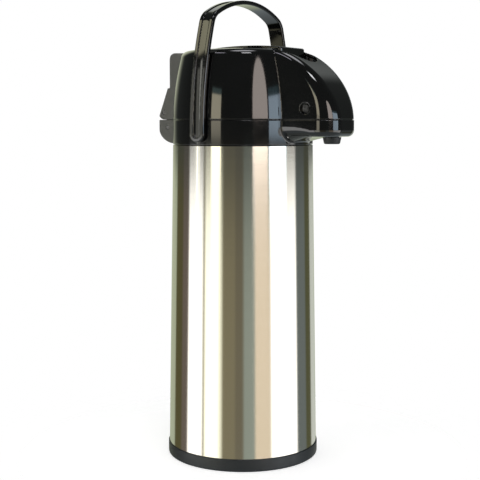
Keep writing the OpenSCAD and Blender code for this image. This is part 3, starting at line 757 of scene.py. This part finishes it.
def spout_nozzle():
    """A short tapered nozzle with a spigot that goes up into the nose."""
    lip = low("spout_nozzle").z
    flange, spigot = lip + 6.6 * MM, lip + 9.5 * MM
    bore_r, seat_r, lip_r, flange_r, spigot_r = 4.2 * MM, 4.55 * MM, 7.6 * MM, 9 * MM, 6.6 * MM
    corners = [(bore_r, lip), (lip_r, lip), (flange_r, flange), (spigot_r, flange), (spigot_r, spigot),
               (seat_r, spigot), (seat_r, flange), (bore_r, flange - 0.4 * MM)]
    radii = [0.5 * MM, 1.5 * MM, 0.3 * MM, 0.1 * MM, 0.3 * MM, 0.2 * MM, 0.0, 0.0]
    return lathe("spout_nozzle_turned", rounded(corners, radii), 64, (0, nozzle_y))


stand_for(outer_shell(), "outer_shell")
stand_for(base_ring(), "base_ring")
stand_for(spout_nozzle(), "spout_nozzle")


# ---------------------------------------------------------------- soft pieces in the lid

def bellows():
    """A rubber sleeve of six folds with round crests, turned in at the top over the plunger."""
    bottom, top = low("bellows").z, high("bellows").z
    outer, inner, hole = high("bellows").x, 39 * MM, 25 * MM
    thick, rim = 1.1 * MM, 1.6 * MM
    folds, steps = 6, 12
    pitch = (top - rim - bottom) / folds
    mean, swing = (outer + inner) / 2, (outer - inner) / 2
    wave = []
    for k in range(folds * steps + 1):
        wave.append((mean + swing * math.cos(2 * math.pi * k / steps), bottom + pitch * k / steps))
    outline = wave + [(outer, top), (hole, top), (hole, top - rim), (outer - thick, top - rim)]
    outline += [(r - thick, z) for r, z in reversed(wave[:-1])]
    return lathe("bellows_sleeve", outline, 96)


def coil(name, centre, radius, wire, turns, height, steps=40, sides=10):
    """A wire helix with closed ends, as one tube."""
    points, faces = [], []
    count = turns * steps
    for i in range(count + 1):
        a = 2 * math.pi * i / steps
        for j in range(sides):
            b = 2 * math.pi * j / sides
            r = radius + wire * math.cos(b)
            z = height * i / count + wire * math.sin(b)
            points.append(centre + Vector((r * math.cos(a), r * math.sin(a), z)))
    for i in range(count):
        for j in range(sides):
            k = (j + 1) % sides
            faces.append((i * sides + j, (i + 1) * sides + j, (i + 1) * sides + k, i * sides + k))
    faces.append(tuple(range(sides)))
    faces.append(tuple(count * sides + j for j in range(sides)))
    return solid_mesh(name, points, faces, 60)


def pump_spring():
    wire, turns = 1 * MM, 7
    start = Vector((0, 0, low("pump_spring").z + wire))
    height = high("pump_spring").z - low("pump_spring").z - 2 * wire
    return coil("pump_spring_wire", start, high("pump_spring").x - wire, wire, turns, height)


for soft, node in ((bellows(), "bellows"), (pump_spring(), "pump_spring")):
    stand_for(soft, node)
    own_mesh(soft)


# ---------------------------------------------------------------- floor

def floor_disc(radius=0.5, rings=24, segments=96):
    """A pale disc under the flask that fades out into the background."""
    clear_from, clear_to = 0.10, 0.30
    points = [(0, 0, 0)]
    faces = []
    for i in range(1, rings + 1):
        for k in range(segments):
            a = 2 * math.pi * k / segments
            points.append((radius * i / rings * math.cos(a), radius * i / rings * math.sin(a), 0))
    for k in range(segments):
        n = (k + 1) % segments
        faces.append((0, 1 + k, 1 + n))
        for i in range(rings - 1):
            a, b = 1 + i * segments, 1 + (i + 1) * segments
            faces.append((a + k, b + k, b + n, a + n))
    mesh = bpy.data.meshes.new("floor")
    mesh.from_pydata(points, [], faces)
    floor = link("floor", mesh)
    t = Tree("pale_floor", Roughness=0.9, Base_Color=(0.85, 0.85, 0.85, 1),
             Emission_Color=(1, 1, 1, 1), Emission_Strength=0.72)
    distance = t.add("VectorMath", operation="LENGTH")
    t.link(t.place((1, 1, 1)), distance.inputs[0])
    fade = t.add("MapRange", interpolation_type="SMOOTHSTEP")
    fade.inputs["From Min"].default_value = clear_from
    fade.inputs["From Max"].default_value = clear_to
    fade.inputs["To Min"].default_value = 1
    fade.inputs["To Max"].default_value = 0
    t.link(distance.outputs["Value"], fade.inputs["Value"])
    t.link(fade.outputs["Result"], t.shader.inputs["Alpha"])
    mesh.materials.append(t.material)
    floor.visible_glossy = False


floor_disc()


# ---------------------------------------------------------------- light

def linear(r, g, b):
    """A screen colour from 0 to 255, as linear light."""
    return tuple(((v / 255 + 0.055) / 1.055) ** 2.4 for v in (r, g, b))


STEEL = (0.82, 0.80, 0.73)                         # what the brushed steel gives back of a light
GLOSS = 0.080                                      # what the gloss plastic gives back of a light
LIGHT_AXIS = 216.0                                 # degrees round from +X to the middle of the light plan


def on_steel(r, g, b):
    """A light that looks like the given screen colour in the brushed steel."""
    return tuple(v / s for v, s in zip(linear(r, g, b), STEEL))


def on_gloss(r, g, b):
    """A light that looks like the given screen colour in the gloss plastic."""
    return tuple(v / GLOSS for v in linear(r, g, b))


WHITE = (1.9, 1.88, 1.85)
# The lights round the room below eye level: the bearing where each starts, in degrees, and its colour.
BANDS = [
    (-180, on_steel(160, 165, 138)),
    (-134, on_steel(80, 75, 48)),
    (-112, on_steel(98, 88, 78)),
    (-96, WHITE),
    (-66.5, on_steel(140, 132, 105)),
    (-62.5, (1.8, 1.78, 1.5)),
    (-38, on_steel(242, 238, 208)),
    (-33, on_steel(122, 114, 88)),
    (-12, on_steel(106, 99, 79)),
    (1, on_steel(138, 144, 130)),
    (19, on_steel(216, 198, 168)),
    (45, WHITE),
    (94, on_steel(98, 103, 98)),
    (118, on_steel(78, 78, 54)),
    (136, on_steel(184, 186, 172)),
    (161, on_steel(160, 165, 138)),
]
BAND_EDGE = 1.8                                    # half the width over which one band fades into the next
# Soft boxes, mostly above eye level: bearings and heights in degrees, colour, and softness of the edges.
BOXES = [
    ((-52.5, -36), (1.1, 13.3), on_gloss(131, 126, 110), 0.8),
    ((-52.5, -36), (13.3, 15.5), on_gloss(44, 54, 53), 0.8),
    ((-52.5, -36), (-0.8, 1.1), on_gloss(112, 108, 96), 0.8),
    ((42.5, 74), (-0.8, 12.5), on_gloss(112, 124, 134), 0.8),
    ((42.5, 74), (12.5, 15.5), on_gloss(34, 45, 48), 0.8),
    ((-85, -82.5), (1, 20), (0.9, 0.93, 0.84), 1.0),
    ((-80.5, -78), (-2, 20), (2.1, 2.1, 1.9), 1.0),
    ((-77, -73.5), (-2, 18), (0.8, 0.8, 0.7), 1.2),
    ((-86, -71.5), (22, 37), (1.9, 1.8, 1.25), 1.5),
    ((-3, 20), (52, 60), (9, 9, 9.3), 1.5),
    ((-72, -46), (50, 58), (2.6, 2.5, 2.9), 2.0),
    ((-195, -146), (-0.8, 40), (0.62, 0.65, 0.48), 26.0),
    ((150, 195), (4, 26), (0.16, 0.18, 0.18), 10.0),
    ((142, 195), (30, 48), (0.34, 0.36, 0.35), 12.0),
    ((-195, -165), (30, 48), (0.6, 0.62, 0.61), 12.0),
]
# A box with a round top: the bearing of its middle, half its width, its height and its colour.
BULLET = (28, 12.5, 27, on_gloss(135, 127, 122))
OVERHEAD = ((2.7, 2.7, 2.85), 76, 82)              # colour, and the heights between which it comes up
FLOOR_LIGHT = ((0.30, 0.34, 0.35), -20, -30)       # the same for the light from below
DARK = ((0.05, 0.055, 0.052), -2.4, -0.8)          # the same for the dark room above eye level


def studio():
    """The world: bands below eye level, a dark room with soft boxes above it, and white for the camera."""
    world = bpy.data.worlds.new("studio")
    bpy.context.scene.world = world
    world.use_nodes = True
    nodes, links = world.node_tree.nodes, world.node_tree.links
    nodes.clear()

    def add(kind, **settings):
        node = nodes.new("ShaderNode" + kind)
        for key, value in settings.items():
            setattr(node, key, value)
        return node

    def feed(socket, value):
        if isinstance(value, bpy.types.NodeSocket):
            links.new(value, socket)
        else:
            socket.default_value = value

    def math_node(operation, a, b=0.0):
        node = add("Math", operation=operation)
        feed(node.inputs[0], a)
        feed(node.inputs[1], b)
        return node.outputs[0]

    def dot(vector, fixed):
        node = add("VectorMath", operation="DOT_PRODUCT")
        feed(node.inputs[0], vector)
        feed(node.inputs[1], fixed)
        return node.outputs["Value"]

    def step(value, a, b):
        node = add("MapRange", interpolation_type="SMOOTHSTEP")
        feed(node.inputs["Value"], value)
        feed(node.inputs["From Min"], a)
        feed(node.inputs["From Max"], b)
        return node.outputs["Result"]

    def mix(share, a, b):
        node = add("Mix", data_type="RGBA")
        feed(node.inputs["Factor"], share)
        feed(node.inputs["A"], a)
        feed(node.inputs["B"], b)
        return node.outputs["Result"]

    def inside(value, span, soft):
        return math_node("MULTIPLY", step(value, span[0] - soft / 2, span[0] + soft / 2),
                         step(value, span[1] + soft / 2, span[1] - soft / 2))

    ray = add("TexCoord").outputs["Generated"]
    a = math.radians(LIGHT_AXIS)
    ahead = (math.cos(a), math.sin(a), 0)
    aside = (-math.sin(a), math.cos(a), 0)
    bearing = math_node("MULTIPLY", math_node("ARCTAN2", dot(ray, aside), dot(ray, ahead)), math.degrees(1))
    height = math_node("MULTIPLY", math_node("ARCSINE", dot(ray, (0, 0, 1))), math.degrees(1))

    ramp = add("ValToRGB")
    elements = ramp.color_ramp.elements
    while len(elements) < 2 * len(BANDS) - 1:
        elements.new(0.5)
    stops = [(BANDS[0][0], BANDS[0][1])]
    for (_, before), (start, after) in zip(BANDS, BANDS[1:]):
        stops += [(start - BAND_EDGE, before), (start + BAND_EDGE, after)]
    for element, (at, colour) in zip(elements, stops):
        element.position = (at + 180) / 360
        element.color = (*[c / 2 for c in colour], 1)
    feed(ramp.inputs["Fac"], math_node("ADD", math_node("DIVIDE", bearing, 360.0), 0.5))
    doubled = add("VectorMath", operation="SCALE")
    feed(doubled.inputs[0], ramp.outputs["Color"])
    feed(doubled.inputs["Scale"], 2.0)
    light = doubled.outputs["Vector"]
    for colour, start, full in (DARK, FLOOR_LIGHT):
        light = mix(step(height, start, full), light, (*colour, 1))
    for bearings, heights, colour, soft in BOXES:
        light = mix(math_node("MULTIPLY", inside(bearing, bearings, soft), inside(height, heights, soft)),
                    light, (*colour, 1))
    centre, half, top, colour = BULLET
    across = math_node("DIVIDE", math_node("SUBTRACT", bearing, centre), half)
    width = math_node("POWER", math_node("ABSOLUTE", across), 2.0)
    rise = math_node("POWER", math_node("MAXIMUM", math_node("DIVIDE", height, top), 0.0), 4.0)
    round_top = step(math_node("ADD", width, rise), 1.06, 0.94)
    light = mix(math_node("MULTIPLY", round_top, step(height, 1.1, 1.4)), light, (*colour, 1))
    colour, start, full = OVERHEAD
    light = mix(step(height, start, full), light, (*colour, 1))
    seen = mix(add("LightPath").outputs["Is Camera Ray"], light, (1, 1, 1, 1))
    background = add("Background")
    feed(background.inputs["Color"], seen)
    feed(add("OutputWorld").inputs["Surface"], background.outputs["Background"])


studio()


# ---------------------------------------------------------------- camera

def camera():
    """Stands in front of the left side, a little above the collar, and looks slightly down."""
    azimuth, distance, height, down, turn = -54.0, 1.1008, 0.3389, 6.165, 0.1536
    lens, sensor = 81.13, 36.0
    a, d = math.radians(azimuth), math.radians(down)
    yaw = math.radians(turn)
    forward = Vector((-math.sin(a), math.cos(a), 0))
    right = Vector((math.cos(a), math.sin(a), 0))
    level = forward * math.cos(yaw) - right * math.sin(yaw)
    right = right * math.cos(yaw) + forward * math.sin(yaw)
    look = level * math.cos(d) - Vector((0, 0, math.sin(d)))
    up = right.cross(look)
    data = bpy.data.cameras.new("camera")
    data.lens, data.sensor_width, data.sensor_fit = lens, sensor, "HORIZONTAL"
    eye = link("camera", data)
    eye.matrix_world = Matrix((right, up, -look)).transposed().to_4x4()
    eye.matrix_world.translation = (math.sin(a) * distance, -math.cos(a) * distance, height)
    bpy.context.scene.camera = eye


camera()
bpy.context.scene.view_settings.view_transform = "Standard"
